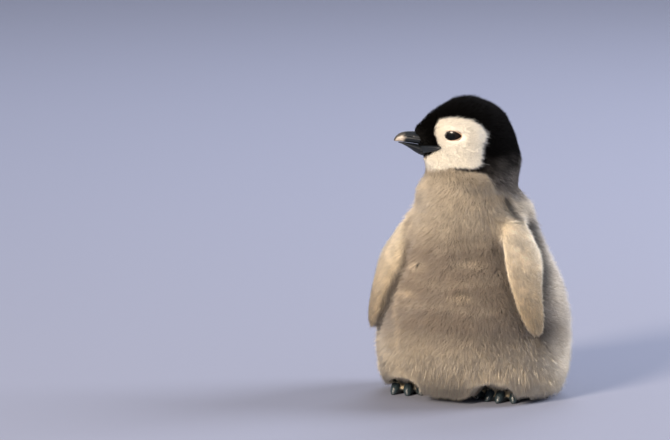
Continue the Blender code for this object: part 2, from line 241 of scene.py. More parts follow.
def marksAt(points, flipper):  # black, white, flipper and dark belly
    ahead, aside, up = onHead(points)
    ragged = cloud(points, 0.0035, 11) * 0.0008 + cloud(points, 0.010, 12) * 0.0010
    across, above = ahead - face["middle"][0], up - face["middle"][1]
    angle = np.degrees(np.arctan2(above, across)) % 360
    reach = np.interp(angle, face["angles"], face["reach"]) * mm
    white = smoothStep(-face["edge"], face["edge"], reach - np.hypot(across, above) + ragged)
    level, slopeStart, slope = face["throat"]
    throat = level - slope * np.maximum(ahead - slopeStart, 0.0)
    white *= smoothStep(-face["edge"], face["edge"], up - throat + ragged) * (ahead > face["back"])
    heading = np.degrees(np.abs(np.arctan2(aside, ahead)))
    behind = smoothStep(*hood["behind"], heading)
    edge = np.interp(heading, hood["angles"], hood["heights"]) * mm
    edge += cloud(points, 0.005, 13) * 0.0030 * behind
    under, over = (least + more * behind for least, more in hood["soft"])
    black = smoothStep(-under, over, up - edge)
    low, high, grizzleAndSheen = hood["nape"]
    fade = smoothStep(low, high, up + cloud(points, 0.008, 15) * 0.008)
    black *= (1 - white) * (1 - grizzleAndSheen * behind * (1 - fade))
    around = roundBody(points)
    z = points[:, 2] + cloud(points, 0.03, 14) * 0.008 - 0.016 * (around - 0.15) ** 2
    z += cloud(points, 0.010, 17) * 0.004
    dark = 1 - smoothStep(*body["belly"], z)
    dark *= 1 - smoothStep(*body["bellyFoot"], z)
    dark *= smoothStep(*body["bellySides"], np.abs(around))
    pale = smoothStep(0.45, 0.75, flipper)
    far, near, most = body["shoulderPale"]
    for spot in body["shoulders"]:
        gone = np.linalg.norm((points - spot) * [1, 1, 0.8], axis=1) + cloud(points, 0.008, 16) * 0.004
        pale = np.maximum(pale, most * smoothStep(far, near, gone))
    return np.stack([black, white, pale * (1 - black), dark], axis=1)


def silverAt(points):  # the flanks and back are a cooler grey than the front
    low, high, middle = body["flanks"]
    return smoothStep(low, high, np.abs(roundBody(points) - middle))


# The skin, one form under the whole coat
skin = {
    "voxel": 0.0017,
    "overlap": 0.0005,  # nodes grow by this to run together
    "core": 0.0010,  # bill, claws and eyes shrink by this to plug their sockets
    "billRoot": 0.058,  # ahead of the head's axis
    "blend": 0.005,
    "bare": 0.75,  # the share of its depth the coat loses at eyes and bill
    "shortFace": 0.35,  # and on the white face
    "fill": 0.62,  # the most of a thin place's half thickness for the coat
    "steps": 6,
    "archHalf": {"Left": 0.030, "Right": 0.025},  # the hem's arch over each foot
    "archHeight": 0.019,
    "kept": 0.45,  # share of the triangles left under the coat
}
toes = [(label, side, toe) for label, side, _ in sides for toe in ("inner", "middle", "outer", "hind")]
clawNodes = [f"claw_{side}_{toe}" for _, side, toe in toes]
billNodes, eyeNodes = ["bill_upper", "bill_lower"], ["eye_left", "eye_right"]
regions = {  # each region's nodes, and the coat's depth there
    "head": (["head"], 0.0058),
    "neck": (["neck"], 0.0110),
    "trunk": (["trunk"], 0.0130),
    "tail": (["tail"], 0.0110),
    "flipperLeft": (["flipper_left"], 0.0036),
    "flipperRight": (["flipper_right"], 0.0036),
    "legs": (["leg_left", "leg_right"], 0.0080),
    "feet": (["foot_left", "foot_right"] + [f"toe_{side}_{toe}" for _, side, toe in toes], 0.0),
}
fleshNodes = [name for names, _ in regions.values() for name in names]


def joinInto(form, mesh):
    form.from_mesh(mesh)
    bpy.data.meshes.remove(mesh)


def copiedNode(name, grow=0.0):  # a merged copy, moved out along its own normals
    part = bmesh.new()
    part.from_mesh(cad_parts[name].data)
    bmesh.ops.remove_doubles(part, verts=part.verts, dist=2e-6)
    bmesh.ops.dissolve_degenerate(part, edges=part.edges, dist=1e-6)
    part.normal_update()
    for vertex in part.verts:
        vertex.co += vertex.normal * grow
    return part


def applied(mesh, kind, group=None, **settings):  # the mesh with one modifier applied
    obj = newObject(mesh.name, mesh)
    modifier = obj.modifiers.new("shape", kind)
    for name, value in settings.items():
        setattr(modifier, name, value)
    if group is not None:
        weights = obj.vertex_groups.new(name="share")
        for weight in np.unique(group):
            weights.add(np.flatnonzero(group == weight).tolist(), float(weight), "REPLACE")
        modifier.vertex_group = "share"
    made = bpy.data.meshes.new_from_object(obj.evaluated_get(bpy.context.evaluated_depsgraph_get()))
    name = mesh.name
    bpy.data.objects.remove(obj)
    bpy.data.meshes.remove(mesh)
    made.name = name
    return made


def keepLargest(mesh):  # drops the bubbles left where nodes met
    form = bmesh.new()
    form.from_mesh(mesh)
    left, islands = set(form.verts), []
    while left:
        island, fresh = set(), {left.pop()}
        while fresh:
            island |= fresh
            fresh = {v for old in fresh for edge in old.link_edges for v in edge.verts} - island
        left -= island
        islands.append(island)
    islands.remove(max(islands, key=len))
    bmesh.ops.delete(form, geom=[v for island in islands for v in island], context="VERTS")
    form.to_mesh(mesh)
    form.free()


def read(collection, name, width, kind=float):
    found = np.empty(len(collection) * width, kind)
    collection.foreach_get(name, found)
    return found.reshape(-1, width)


def spotsOf(mesh):
    return read(mesh.vertices, "co", 3)


def edgesOf(mesh):
    return read(mesh.edges, "vertices", 2, np.int32)


def trianglesOf(mesh):
    mesh.calc_loop_triangles()
    return read(mesh.loop_triangles, "vertices", 3, np.int32)


def gathered(index, values, count):
    if values.ndim == 1:
        return np.bincount(index, values, count)
    return np.stack([np.bincount(index, column, count) for column in values.T], axis=1)


def normalsOf(at, tris):
    a, b, c = (at[tris[:, k]] for k in range(3))
    flat = np.cross(b - a, c - a)
    return unit(sum(gathered(tris[:, k], flat, len(at)) for k in range(3)))


def relaxed(values, links, rounds, share):  # drawn towards the neighbours' values
    a, b = links.T
    count = np.bincount(np.concatenate([a, b]), minlength=len(values)).astype(float)
    if values.ndim == 2:
        count = count[:, None]
        share = share[:, None] if isinstance(share, np.ndarray) else share
    for _ in range(rounds):
        total = gathered(a, values[b], len(values)) + gathered(b, values[a], len(values))
        values = values + share * (total / count - values)
    return values


def evened(at, links, rounds, share=1.0):  # smooths without shrinking
    for _ in range(rounds):
        at = relaxed(at, links, 1, 0.50 * share)
        at = relaxed(at, links, 1, -0.52 * share)
    return at


def nearness(at, names):  # distance to the nearest of these nodes
    form = bmesh.new()
    for name in names:
        form.from_mesh(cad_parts[name].data)
    tree = BVHTree.FromBMesh(form)
    form.free()
    return np.array([tree.find_nearest(p)[3] for p in map(Vector, at.tolist())])


def halfThickness(at, normal, tris, limit, grain):  # of a ball that fits inside
    tree = BVHTree.FromPolygons(at.tolist(), tris.tolist())
    radius = np.maximum(limit, 1e-5)
    active = np.flatnonzero(limit > 0.001)
    for _ in range(4):
        centre = at[active] - normal[active] * radius[active][:, None]
        found = [tree.find_nearest(p) for p in map(Vector, centre.tolist())]
        gap = at[active] - np.array([f[0] for f in found])
        span = np.linalg.norm(gap, axis=1)
        tight = (np.array([f[3] for f in found]) < radius[active] * 0.97) & (span > grain)
        toward = np.maximum((gap * normal[active]).sum(1), 1e-6)
        active, span, toward = active[tight], span[tight], toward[tight]
        radius[active] = np.minimum(radius[active], span**2 / (2 * toward))
    return radius


form = bmesh.new()
for name in fleshNodes:
    joinInto(form, meshOf(copiedNode(name, skin["overlap"]), "part"))
for name in billNodes + eyeNodes + clawNodes:
    core = copiedNode(name, -skin["core"])
    if name in billNodes:  # only the root that sits in the face
        geom, root = core.verts[:] + core.edges[:] + core.faces[:], headMiddle + headAhead * skin["billRoot"]
        cut = bmesh.ops.bisect_plane(core, geom=geom, plane_co=root, plane_no=headAhead, clear_outer=True)
        rim = [item for item in cut["geom_cut"] if isinstance(item, bmesh.types.BMEdge)]
        bmesh.ops.contextual_create(core, geom=rim)
    joinInto(form, meshOf(core, "core"))
skinMesh = applied(meshOf(form, "skin"), "REMESH", mode="VOXEL", voxel_size=skin["voxel"])
keepLargest(skinMesh)
outer, tris, links = spotsOf(skinMesh), trianglesOf(skinMesh), edgesOf(skinMesh)
print("skin remeshed:", len(outer), "points,", len(tris), "triangles")

away = {region: nearness(outer, names) for region, (names, _) in regions.items()}
hornAway, eyeAway, clawAway = (nearness(outer, names) for names in (billNodes, eyeNodes, clawNodes))
archAt = np.zeros(len(outer))  # how high the hem rises over each foot
for label, side, _ in sides:
    heel, toeTip = (sum(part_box(name), Vector()) / 2 for name in (f"foot_{side}", f"claw_{side}_middle"))
    along = unit(np.array([toeTip.x - heel.x, toeTip.y - heel.y]))
    q = outer[:, :2] - np.array([heel.x, heel.y])
    aside = (q @ [along[1], -along[0]]) / skin["archHalf"][label]
    archAt += skin["archHeight"] * np.sqrt(np.clip(1 - aside**2, 0, 1)) * (q @ along > 0)
share = {region: falloff(distance, skin["blend"]) for region, distance in away.items()}
total = sum(share.values()) + 1e-9
share = {region: relaxed(value / total, links, 4, 0.5) for region, value in share.items()}
bareShare = np.maximum(share["feet"], falloff(clawAway, 0.002))
flipperShare = share["flipperLeft"] + share["flipperRight"]

raw = outer
firm = np.maximum(bareShare, falloff(np.minimum(eyeAway, hornAway), 0.004))
outer = evened(outer, links, 16, 1 - 0.7 * firm)
atShoulder = np.zeros(len(outer))  # smoothed most, where a flipper meets the body
for spot in body["flippersTop"]:
    atShoulder = np.maximum(atShoulder, smoothStep(0.034, 0.016, np.linalg.norm(outer - spot, axis=1)))
outer = relaxed(outer, links, 70, 0.5 * atShoulder)
raw = raw + (outer - raw) * atShoulder[:, None]
# beside a flipper the coat is shorter, and painted shade darkens it
besideFlipper = falloff(np.minimum(away["flipperLeft"], away["flipperRight"]), 0.008)
besideFlipper *= 1 - smoothStep(0.3, 0.7, flipperShare)
besideFlipper *= smoothStep(0.222, 0.195, outer[:, 2])
depth = sum(share[region] * deep for region, (_, deep) in regions.items())
marks = marksAt(outer, flipperShare)
depth *= 1 - skin["shortFace"] * marks[:, 1]
depth *= 1 - skin["bare"] * falloff(eyeAway, 0.006)
depth *= 1 - skin["bare"] * falloff(hornAway, 0.007)
outerNormal = unit(relaxed(normalsOf(outer, tris), links, 6, 0.5))
room = halfThickness(outer, outerNormal, tris, depth / skin["fill"], skin["voxel"] * 2.5)
depth = np.minimum(depth, relaxed(room, links, 3, 0.5) * skin["fill"])
depth = relaxed(depth, links, 14, 0.5)
depth[bareShare > 0.8] = 0.0

skinAt = outer
for _ in range(skin["steps"]):
    normal = unit(relaxed(normalsOf(skinAt, tris), links, 4, 0.5))
    skinAt = skinAt - normal * ((depth + skin["overlap"]) / skin["steps"])[:, None]
    skinAt = relaxed(skinAt, links, 2, 0.45 * np.clip(depth / 0.004, 0.0, 1.0))
skinNormal = unit(relaxed(normalsOf(skinAt, tris), links, 4, 0.5))
cover = np.clip(((raw - skinAt) * skinNormal).sum(1) - skin["overlap"], 0.0006, 0.02)
cover = relaxed(cover, links, 3, 0.5)  # the coat's thickness
skinMesh.vertices.foreach_set("co", skinAt.ravel())
skinMesh.update()
print("skin set under the coat")

# The down, and the finishes of feathers and skin
down = {
    "chest": "ddd1bb",
    "belly": "a89c8d",
    "silver": "e8e1d7",
    "flipper": "fff3da",
    "flipperDark": "ecd6ae",
    "hood": "070605",
    # the nape's grey, partly painted sheen on the black hair tips
    "nape": "807a73",
    # the hem is paler and yellower, and lighter still as painted light, for light thrown up from the floor
    "hem": "fff0d2",
    "face": "fffbee",
    "shade": "93826f",
    # faceTone lifts the face's tufts past their colour: painted light against the shadows they cast on one
    # another
    "faceTone": 1.08,
    # skinFaceTone darkens the face's skin where it shows between tufts: painted shade
    "skinFaceTone": 0.76,
}


def downColour(tree, where, faceTone):  # the markings, shared by skin and coat
    marksNode, lieNode = (addNode(tree, "Attribute", attribute_name=name) for name in ("marks", "lie"))
    black, white, flipper = addNode(tree, "SeparateColor", {"Color": marksNode}).outputs
    along, own, lock = addNode(tree, "SeparateColor", {"Color": lieNode}).outputs
    height = addNode(tree, "SeparateXYZ", {"Vector": where}).outputs["Z"]
    # mottling of 7 mm and of 30 mm
    fine, broad = (
        addNode(tree, "TexNoise", {"Vector": where, "Scale": scale, "Detail": detail})
        for scale, detail in ((140.0, 3.0), (33.0, 2.0))
    )
    ranges = {  # each share: what it follows, from, to, least, most
        "blotch": (broad, 0.40, 0.66, 0.0, 0.30),
        "speck": (fine, 0.52, 0.72, 0.0, 0.35),
        "hem": (height, 0.095, 0.028, 0.0, 0.95),
        # on the flippers this share is only their wear: darker and tanner lower down
        "wearAndHighlight": (height, 0.20, 0.115, 0.0, 1.0),
        "hood": (black, 0.5, 1.0, 0.0, 1.0),
        "black": (black, 0.0, 0.5, 0.0, 1.0),
        # each tuft is a little lighter or darker, and darker at its root; its tone also carries painted
        # shade, and its lock painted highlights
        "own": (own, 0.0, 1.0, 0.20, 1.11),
        "lock": (lock, 0.0, 1.0, 0.92, 1.30),
        "along": (along, 0.0, 1.0, 0.78, 1.05),
        "plain": (white, 0.0, 1.0, 0.0, 0.75),  # an even face at the face tone: painted light on the coat, painted shade on the skin
    }
    names = ("Value", "From Min", "From Max", "To Min", "To Max")
    part = {key: addNode(tree, "MapRange", dict(zip(names, row))) for key, row in ranges.items()}
    layers = (  # each layer: its colour's name, share, below, above
        ("grey", marksNode.outputs["Alpha"], down["chest"], down["belly"]),
        ("grey", lieNode.outputs["Alpha"], "grey", down["silver"]),
        ("grey", part["blotch"], "grey", down["shade"]),
        ("grey", part["speck"], "grey", down["shade"]),
        ("grey", part["hem"], "grey", down["hem"]),
        ("blade", part["wearAndHighlight"], down["flipper"], down["flipperDark"]),
        ("hood", part["hood"], down["nape"], down["hood"]),
        ("coat", flipper, "grey", "blade"),
        ("coat", part["black"], "coat", "hood"),
        ("coat", white, "coat", down["face"]),
    )
    made = {}
    for name, amount, under, over in layers:
        inputs = {0: amount, 6: made.get(under, under), 7: made.get(over, over)}
        made[name] = addNode(tree, "Mix", inputs, data_type="RGBA")
    tone = addNode(tree, "Math", {0: part["own"], 1: part["along"]}, operation="MULTIPLY")
    tone = addNode(tree, "Math", {0: tone, 1: part["lock"]}, operation="MULTIPLY")
    tone = addNode(tree, "Mix", {"Factor": part["plain"], "A": tone, "B": faceTone})
    return addNode(tree, "VectorMath", {0: made["coat"], "Scale": tone}, operation="SCALE")


# chick down: matte, with a soft glow at grazing angles
downFinish, tree, shader, where = newMaterial("chick down")
colour = downColour(tree, where, down["faceTone"])
setSockets(shader, {"Base Color": colour, "Roughness": 0.85, "Specular IOR Level": 0.2})
setSockets(shader, {"Sheen Weight": 0.25, "Sheen Roughness": 0.6})

# hood feathers: short, dense and black, with a faint gloss
hoodFinish, tree, shader, where = newMaterial("black hood feathers")
colour = downColour(tree, where, down["faceTone"])
setSockets(shader, {"Base Color": colour, "Roughness": 0.75, "Specular IOR Level": 0.05})

# skin under the coat: the coat's own colours, darker on the white face as painted shade, with a fine nap of
# 1 mm
skinFinish, tree, shader, where = newMaterial("downy skin")
colour = downColour(tree, where, down["skinFaceTone"])
nap = addNode(tree, "TexNoise", {"Vector": where, "Scale": 900.0, "Detail": 2.0})
bump = addNode(tree, "Bump", {"Height": nap, "Distance": 0.0006, "Strength": 0.7})
setSockets(shader, {"Base Color": colour, "Roughness": 0.9, "Specular IOR Level": 0.15, "Normal": bump})

# scaly foot skin: slate black plates 2 mm across, stained, and cream at the claws' roots
footFinish, tree, shader, where = newMaterial("scaly foot skin")
plates = addNode(tree, "TexVoronoi", {"Vector": where, "Scale": 520.0}, feature="DISTANCE_TO_EDGE")
stains = addNode(tree, "TexNoise", {"Vector": where, "Scale": 160.0, "Detail": 3.0})
pale = addNode(tree, "Attribute", attribute_name="pale").outputs["Fac"]
dark = addNode(tree, "Mix", {0: stains, 6: "23282a", 7: "4a504e"}, data_type="RGBA")
colour = addNode(tree, "Mix", {0: pale, 6: dark, 7: "cbbd9f"}, data_type="RGBA")
bump = addNode(tree, "Bump", {"Height": plates, "Distance": 0.0010, "Strength": 0.6})
setSockets(shader, {"Base Color": colour, "Roughness": 0.55, "Normal": bump})

# lid skin: bare, pinkish cream, a little moist, with pores finer than a millimetre
lidFinish, tree, shader, where = newMaterial("bare lid skin")
rim = addNode(tree, "Attribute", attribute_name="rim").outputs["Fac"]
pores = addNode(tree, "TexNoise", {"Vector": where, "Scale": 1400.0, "Detail": 2.0})
bare = addNode(tree, "Mix", {0: pores, 6: "a88b78", 7: "c9ab93"}, data_type="RGBA")
colour = addNode(tree, "Mix", {0: rim, 6: "b9ab95", 7: bare}, data_type="RGBA")
bump = addNode(tree, "Bump", {"Height": pores, "Distance": 0.0002, "Strength": 0.5})
setSockets(shader, {"Base Color": colour, "Roughness": 0.5, "Normal": bump})

# bill horn: slate black with a low sheen and a 2 mm grain, horn-cream at the tip
billFinish, tree, shader, where = newMaterial("slate bill horn")
grain = addNode(tree, "TexNoise", {"Vector": where, "Scale": 420.0, "Detail": 3.0})
tipShare = addNode(tree, "Attribute", attribute_name="tip").outputs["Fac"]
slate = addNode(tree, "Mix", {0: grain, 6: "0b0d0f", 7: "1d2328"}, data_type="RGBA")
cream = addNode(tree, "Mix", {0: grain, 6: "837a70", 7: "d6cab9"}, data_type="RGBA")
colour = addNode(tree, "Mix", {0: tipShare, 6: slate, 7: cream}, data_type="RGBA")
bump = addNode(tree, "Bump", {"Height": grain, "Distance": 0.0003, "Strength": 0.5})
setSockets(shader, {"Base Color": colour, "Roughness": 0.42, "Specular IOR Level": 0.35, "Normal": bump})

# claw horn: blue-black and smooth, with faint lengthwise ridges of 1 mm
clawFinish, tree, shader, where = newMaterial("blue-black claw horn")
stretched = addNode(tree, "Mapping", {"Vector": where, "Scale": (1.0, 0.25, 0.4)})
ridges = addNode(tree, "TexNoise", {"Vector": stretched, "Scale": 900.0, "Detail": 2.0})
colour = addNode(tree, "Mix", {0: ridges, 6: "0c1215", 7: "36464c"}, data_type="RGBA")
bump = addNode(tree, "Bump", {"Height": ridges, "Distance": 0.0004, "Strength": 0.6})
setSockets(shader, {"Base Color": colour, "Roughness": 0.32, "Normal": bump})

# dark eye: near-black brown iris and a black pupil under a wet clear front
eyeFinish, tree, shader, where = newMaterial("wet dark eye")
outwards = addNode(tree, "Attribute", attribute_name="outwards").outputs["Fac"]
streaks = addNode(tree, "TexNoise", {"Vector": where, "Scale": 900.0, "Detail": 2.0})
pupil = addNode(tree, "MapRange", {"Value": outwards, "From Min": 0.925, "From Max": 0.945})
iris = addNode(tree, "Mix", {0: streaks, 6: "0e0907", 7: "1d130d"}, data_type="RGBA")
colour = addNode(tree, "Mix", {0: pupil, 6: iris, 7: "050506"}, data_type="RGBA")
setSockets(shader, {"Base Color": colour, "Roughness": 0.25, "Specular IOR Level": 0.1})
setSockets(shader, {"Coat Weight": 0.16, "Coat Roughness": 0.05})
print("finishes done")

# Bill and claws
bill = {
    "voxel": 0.0005,
    "tip": (0.0840, 0.0905),  # where the pale tip starts
    "ridge": ((0.077, 0.087, 0.095, 0.0995), (0.0056, 0.0048, 0.0014, -0.0046)),
    "nostril": (0.0790, -0.0004, 0.0035, 0.0006, 0.0010),  # ahead, up, half length, width, depth
    "groove": (0.058, 0.079, -0.0040, -0.0006),  # from, to, and its height at each end
    "grooveSize": (0.0008, 0.0004),  # half width and depth
    "gape": ((0.067, -0.0170), (0.0425, -0.0122), 0.0046),  # from, to, and half height
}
outerTree = BVHTree.FromPolygons(outer.tolist(), tris.tolist())


def smoothed(name, voxel, rounds):  # a node's form, remeshed and without its facets
    mesh = applied(meshOf(copiedNode(name), name), "REMESH", mode="VOXEL", voxel_size=voxel)
    at = evened(spotsOf(mesh), edgesOf(mesh), rounds)
    mesh.polygons.foreach_set("use_smooth", np.ones(len(mesh.polygons), bool))
    return mesh, at


def faceOut(form, outward):
    form.normal_update()
    if sum(item.normal.dot(outward) for item in form.faces) < 0:
        bmesh.ops.reverse_faces(form, faces=form.faces)


for half in ("upper", "lower"):
    mesh, at = smoothed(f"bill_{half}", bill["voxel"], 10)
    normal = normalsOf(at, trianglesOf(mesh))
    ahead, _, up = onHead(at)
    if half == "upper":
        spot, level, reach, width, deep = bill["nostril"]
        slit = np.exp(-(((ahead - spot) / reach) ** 4) - ((up - level) / width) ** 2)
        start, end, low, high = bill["groove"]
        line = low + (high - low) * (ahead - start) / (end - start)
        width, cut = bill["grooveSize"]
        groove = falloff(up - line, width) * (ahead > start) * (ahead < end)
        at = at - normal * (deep * slit + cut * groove)[:, None]
    mesh.vertices.foreach_set("co", at.ravel())
    tip = smoothStep(*bill["tip"], ahead + cloud(at, 0.003, 51) * 0.0022) * (half == "upper")
    tip *= 1 - 0.90 * smoothStep(-0.0048, -0.0020, up - np.interp(ahead, *bill["ridge"]))
    setAttribute(mesh, "tip", tip)
    addPiece("bill" + half.capitalize(), mesh, [billFinish], [f"bill_{half}"])

# the bare skin that runs back from the bill to the corner of the mouth
for label, _, sign in sides:
    (aheadStart, upStart), (aheadEnd, upEnd), tall = bill["gape"]
    outward = Vector(headAside * sign)
    strip = bmesh.new()
    bmesh.ops.create_grid(strip, x_segments=40, y_segments=14, size=1.0)
    for vertex in strip.verts:
        t, v = (vertex.co.x + 1) / 2, vertex.co.y
        ahead = aheadStart + (aheadEnd - aheadStart) * t
        up = upStart + (upEnd - upStart) * t + v * tall * math.sqrt(1 - 0.93 * t * t)
        spot = Vector(headMiddle + headAhead * ahead + [0, 0, up])
        hit = outerTree.ray_cast(spot + outward * 0.08, -outward)[0] or spot + outward * 0.01
        lift = 0.0010 * (1 - abs(v) ** 3) - 0.0022 * abs(v) ** 6 - 0.0020 * t**8
        vertex.co = hit + outward * (lift - 0.0004 * math.exp(-((v / 0.12) ** 2)))
    faceOut(strip, outward)
    mesh = meshOf(strip, f"gape{label}")
    setAttribute(mesh, "tip", np.zeros(len(mesh.vertices)))
    addPiece(f"gape{label}", mesh, [billFinish])

for (label, _, toe), node in zip(toes, clawNodes):
    mesh, at = smoothed(node, 0.0005, 6)
    mesh.vertices.foreach_set("co", at.ravel())
    addPiece(f"claw{label}{toe.capitalize()}", mesh, [clawFinish], [node])
print("bill and claws done")

# Eyes, each with its lids: a ring that leaves the eye, rises to a bead, folds and meets the face
eye = {
    "radii": (0.0095, 0.0155, 0.0125),  # through the head, along it, and up
    "front": 0.0090,  # the node's own reach outward
    "look": math.radians(22),
    "opening": (0.0126, 0.0058),  # half length and half height between the lids
    "lidHeights": (1.04, 0.94),  # upper and lower lid
    "folds": ((0.0008, 0.0006, 0.0007), (0.0019, 0.0005, -0.0003), (0.0029, 0.0006, 0.0004)),
    "foldShares": (1.3, 0.8),
    "lids": 0.0054,  # their width
    "rim": 0.0022,  # their bare, pinkish edge
}
skinTree = BVHTree.FromPolygons(skinAt.tolist(), tris.tolist())
reachOut, reachAlong, reachUp = eye["radii"]
lidParts = []
for label, side, sign in sides:
    low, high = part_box(f"eye_{side}")
    angle = -headTurn - sign * eye["look"]
    through = Vector((math.cos(angle), math.sin(angle), 0.0)) * sign
    along = Vector((math.sin(angle), -math.cos(angle), 0.0))  # towards the bill
    middle = (low + high) / 2 + through * (eye["front"] - reachOut)
    ball = bmesh.new()
    bmesh.ops.create_uvsphere(ball, u_segments=48, v_segments=32, radius=1.0)
    bmesh.ops.scale(ball, vec=(reachAlong, reachUp, reachOut), verts=ball.verts)
    turned = Matrix((along, Vector((0, 0, 1)), through)).transposed()  # the poles look out and in
    if turned.determinant() < 0:
        bmesh.ops.reverse_faces(ball, faces=ball.faces)
    bmesh.ops.transform(ball, matrix=turned.to_4x4(), verts=ball.verts)
    bmesh.ops.translate(ball, vec=middle, verts=ball.verts)
    mesh = meshOf(ball, f"eye{label}")
    outwards = (spotsOf(mesh) - np.array(middle)) @ np.array(through) / reachOut
    setAttribute(mesh, "outwards", outwards)
    addPiece(f"eye{label}", mesh, [eyeFinish], [f"eye_{side}"])

    ring = bmesh.new()
    bmesh.ops.create_grid(ring, x_segments=72, y_segments=14, size=1.0)
    rimLayer = ring.verts.layers.float.new("rim")
    for vertex in ring.verts:
        phi, t = math.pi * vertex.co.x, (vertex.co.y + 1) / 2
        w = eye["lids"] * t
        c, s = math.cos(phi), math.sin(phi)
        halfLength, halfHeight = eye["opening"]
        lower = 0 if s > 0 else 1
        x = (halfLength + w * 0.75) * c
        z = (halfHeight * eye["lidHeights"][lower] * abs(s) ** 0.35 + w) * s
        onBall = reachOut * math.sqrt(max(1 - (x / reachAlong) ** 2 - (z / reachUp) ** 2, 0.02))
        spot = middle + along * x + Vector((0, 0, z))
        hit = skinTree.ray_cast(spot + through * 0.03, -through)[0]
        onFace = (hit - spot).dot(through) if hit else onBall
        blend = t * t * (3 - 2 * t)
        height = onBall * (1 - blend) + (onFace - 0.0005 * t) * blend
        for peak, width, lift in eye["folds"]:
            height += lift * eye["foldShares"][lower] * math.exp(-(((w - peak) / width) ** 2))
        vertex[rimLayer] = math.exp(-((w / eye["rim"]) ** 2))
        vertex.co = spot + through * (height - (0.0006 if t == 0 else 0.0))  # tucked in at the eye
    bmesh.ops.remove_doubles(ring, verts=ring.verts, dist=1e-6)
    faceOut(ring, through)
    lidParts.append(meshOf(ring, "lids"))
print("eyes and lids done")


def finderOf(spots):
    finder = KDTree(len(spots))
    for index, spot in enumerate(spots.tolist()):
        finder.insert(spot, index)
    finder.balance()
    return finder


# The skin piece: fine at the feet and eyes, coarser where the coat hides it, with the lids joined
paleToe = falloff(clawAway, 0.0070) + 0.7 * smoothStep(0.1, 0.5, cloud(outer, 0.005, 52))
paleToe = np.clip(paleToe, 0, 1) * smoothStep(0.004, 0.008, outer[:, 2])
paleToe *= smoothStep(-0.1, 0.6, skinNormal[:, 2])
fine = np.maximum(bareShare, falloff(eyeAway, 0.012))
thinned = np.round(1 - 0.95 * np.clip(fine, 0, 1), 1)
thinned[thinned > 0.9] = 1.0
settings = {"ratio": skin["kept"], "use_collapse_triangulate": True}
thinSkin = applied(skinMesh, "DECIMATE", group=thinned, **settings)
finder = finderOf(skinAt)
nearest = np.array([finder.find(vertex.co)[1] for vertex in thinSkin.vertices])
form = bmesh.new()
for mesh in [thinSkin] + lidParts:
    joinInto(form, mesh)
shown = meshOf(form, "skin")
extra = len(shown.vertices) - len(nearest)
marks[:, 1] *= 1 - 0.4 * falloff(eyeAway, 0.0035)  # greyer close to the eye: a faint grey ring, deepened as painted shade
setAttribute(shown, "marks", np.concatenate([marks[nearest], np.tile([0.0, 1, 0, 0], (extra, 1))]))
lie = np.tile([0.35, 0.8, 0.3, 0.0], (len(shown.vertices), 1))
lie[: len(nearest), 3] = (silverAt(outer) * (share["trunk"] + share["neck"]) + share["tail"])[nearest]
setAttribute(shown, "lie", lie)
setAttribute(shown, "pale", np.concatenate([paleToe[nearest], np.zeros(extra)]))
bare = np.concatenate([np.where(bareShare > 0.5, 1, 0)[nearest], np.full(extra, 2)])
addPiece("skin", shown, [skinFinish, footFinish, lidFinish], fleshNodes)
kinds = np.array([bare[list(item.vertices)].max() for item in shown.polygons], np.int32)
shown.polygons.foreach_set("material_index", kinds)
print("skin done:", len(trianglesOf(shown)), "triangles")

# The coat. Each region's tufts: spacing and width in millimetres, lean from upright and stray from
# the lie of the coat in degrees, and how far the tips reach as a share of the coat's thickness.
coatKeys = ("spacing", "width", "lean", "stray", "reach")
coat = {
    "trunk": (0.84, 0.66, 44, 34, 1.10),
    "neck": (0.84, 0.64, 46, 28, 1.12),
    "tail": (1.05, 0.80, 50, 20, 1.10),
    "legs": (0.95, 0.66, 42, 26, 1.15),
    "feet": (0.95, 0.66, 42, 26, 1.15),
    "flipperLeft": (0.78, 0.54, 58, 20, 1.05),
    "flipperRight": (0.78, 0.54, 58, 20, 1.05),
    "head": (0.86, 0.56, 52, 20, 1.10),
    "face": (0.74, 0.46, 57, 20, 1.02),
}
rng = np.random.default_rng(41)
whiteShare = share["head"] * marks[:, 1]
weights = dict(share, head=share["head"] - whiteShare, face=whiteShare)
fields = {
    key: sum(weights[region] * coat[region][k] for region in weights) for k, key in enumerate(coatKeys)
}


def axesOf(side):  # a flipper's long way, down, its broad way, back, and its middle
    spots = spotsOf(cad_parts[f"flipper_{side}"].data)
    long, broad, _ = np.linalg.svd(spots - spots.mean(0), full_matrices=False)[2]
    return long * (-1 if long[2] > 0 else 1), broad * (-1 if broad[1] < 0 else 1), spots.mean(0)


flipperAxes = {label: axesOf(side) for label, side, _ in sides}
fromBill = headMiddle + headAhead * 0.085 + [0, 0, -0.008]
lieOf = {  # the way the coat lies
    "trunk": (0.0, 0.10, -1.0),
    "neck": (0.0, 0.05, -1.0),
    "tail": (0.0, 1.0, -0.25),
    "legs": (0.0, -0.6, -1.0),
    "feet": (0.0, -0.6, -1.0),
    "flipperLeft": flipperAxes["Left"][0],
    "flipperRight": flipperAxes["Right"][0],
    "head": unit(outer - fromBill) + [0, 0, -0.35],
}
flow = sum(share[region][:, None] * lieOf[region] for region in regions)

# roots, one in each equal step of the coat's area
a, b, c = (skinAt[tris[:, k]] for k in range(3))
area = np.linalg.norm(np.cross(b - a, c - a), axis=1) / 2
noCoat = (bareShare > 0.45) | (eyeAway < 0.0015)
noCoat |= (outerNormal[:, 2] < -0.93) & (outer[:, 2] < 0.006)
noCoat = noCoat[tris].any(1)
wanted = area / (fields["spacing"][tris].mean(1) * mm) ** 2
wanted[noCoat] = 0.0


def newRoots(density):  # the triangle of each root, and its place in it
    runs = np.cumsum(density)
    count = int(runs[-1])
    picks = np.searchsorted(runs, (np.arange(count) + rng.random(count)) * runs[-1] / count)
    u, v = rng.random((2, count))
    flip = u + v > 1
    u[flip], v[flip] = 1 - u[flip], 1 - v[flip]
    return np.minimum(picks, len(tris) - 1), np.stack([1 - u - v, u, v], axis=1)


def atRoots(values, roots):
    picks, blend = roots
    found = values[tris[picks]]
    return (found * (blend[..., None] if found.ndim == 3 else blend)).sum(1)


